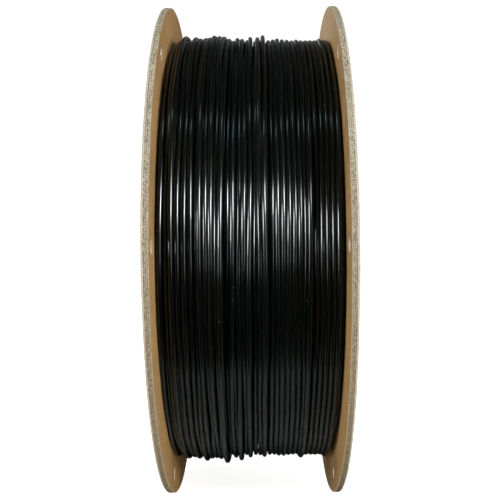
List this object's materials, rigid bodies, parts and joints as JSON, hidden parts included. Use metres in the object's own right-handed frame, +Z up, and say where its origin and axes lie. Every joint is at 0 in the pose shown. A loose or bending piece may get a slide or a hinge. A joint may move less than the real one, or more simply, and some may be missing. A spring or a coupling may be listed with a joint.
{
  "type": "filament spool",
  "caption": "Board filament spool: laminated flanges with a hub hole and tie-off holes near the rim, glued to a paper core tube that is wound full of black plastic strand.",
  "frame": {"origin": "on the hub axis, halfway between the flanges", "axes": "+Y along the hub axis towards the right flange, +Z up with the spool standing on its rims, +X towards the viewer of the picture"},
  "size_m": [0.2, 0.0676, 0.2],
  "materials": {
    "kraft_liner": "matte kraft facing",
    "greyboard": "raw fibrous board",
    "core_paper": "wound kraft paper",
    "filament": "glossy extruded strand"
  },
  "bodies": {
    "root": {"left_outer_liner": "kraft_liner", "left_outer_ply": "greyboard", "left_middle_ply": "greyboard", "left_inner_ply": "greyboard", "left_inner_liner": "kraft_liner", "left_hub_disc": "greyboard", "right_outer_liner": "kraft_liner", "right_outer_ply": "greyboard", "right_middle_ply": "greyboard", "right_inner_ply": "greyboard", "right_inner_liner": "kraft_liner", "right_hub_disc": "greyboard", "core_inner_ply": "core_paper", "core_body": "greyboard", "core_outer_ply": "core_paper", "filament_inner_end": "filament", "filament_inner_layers": "filament", "filament_outer_layer": "filament"}
  },
  "joints": []
}
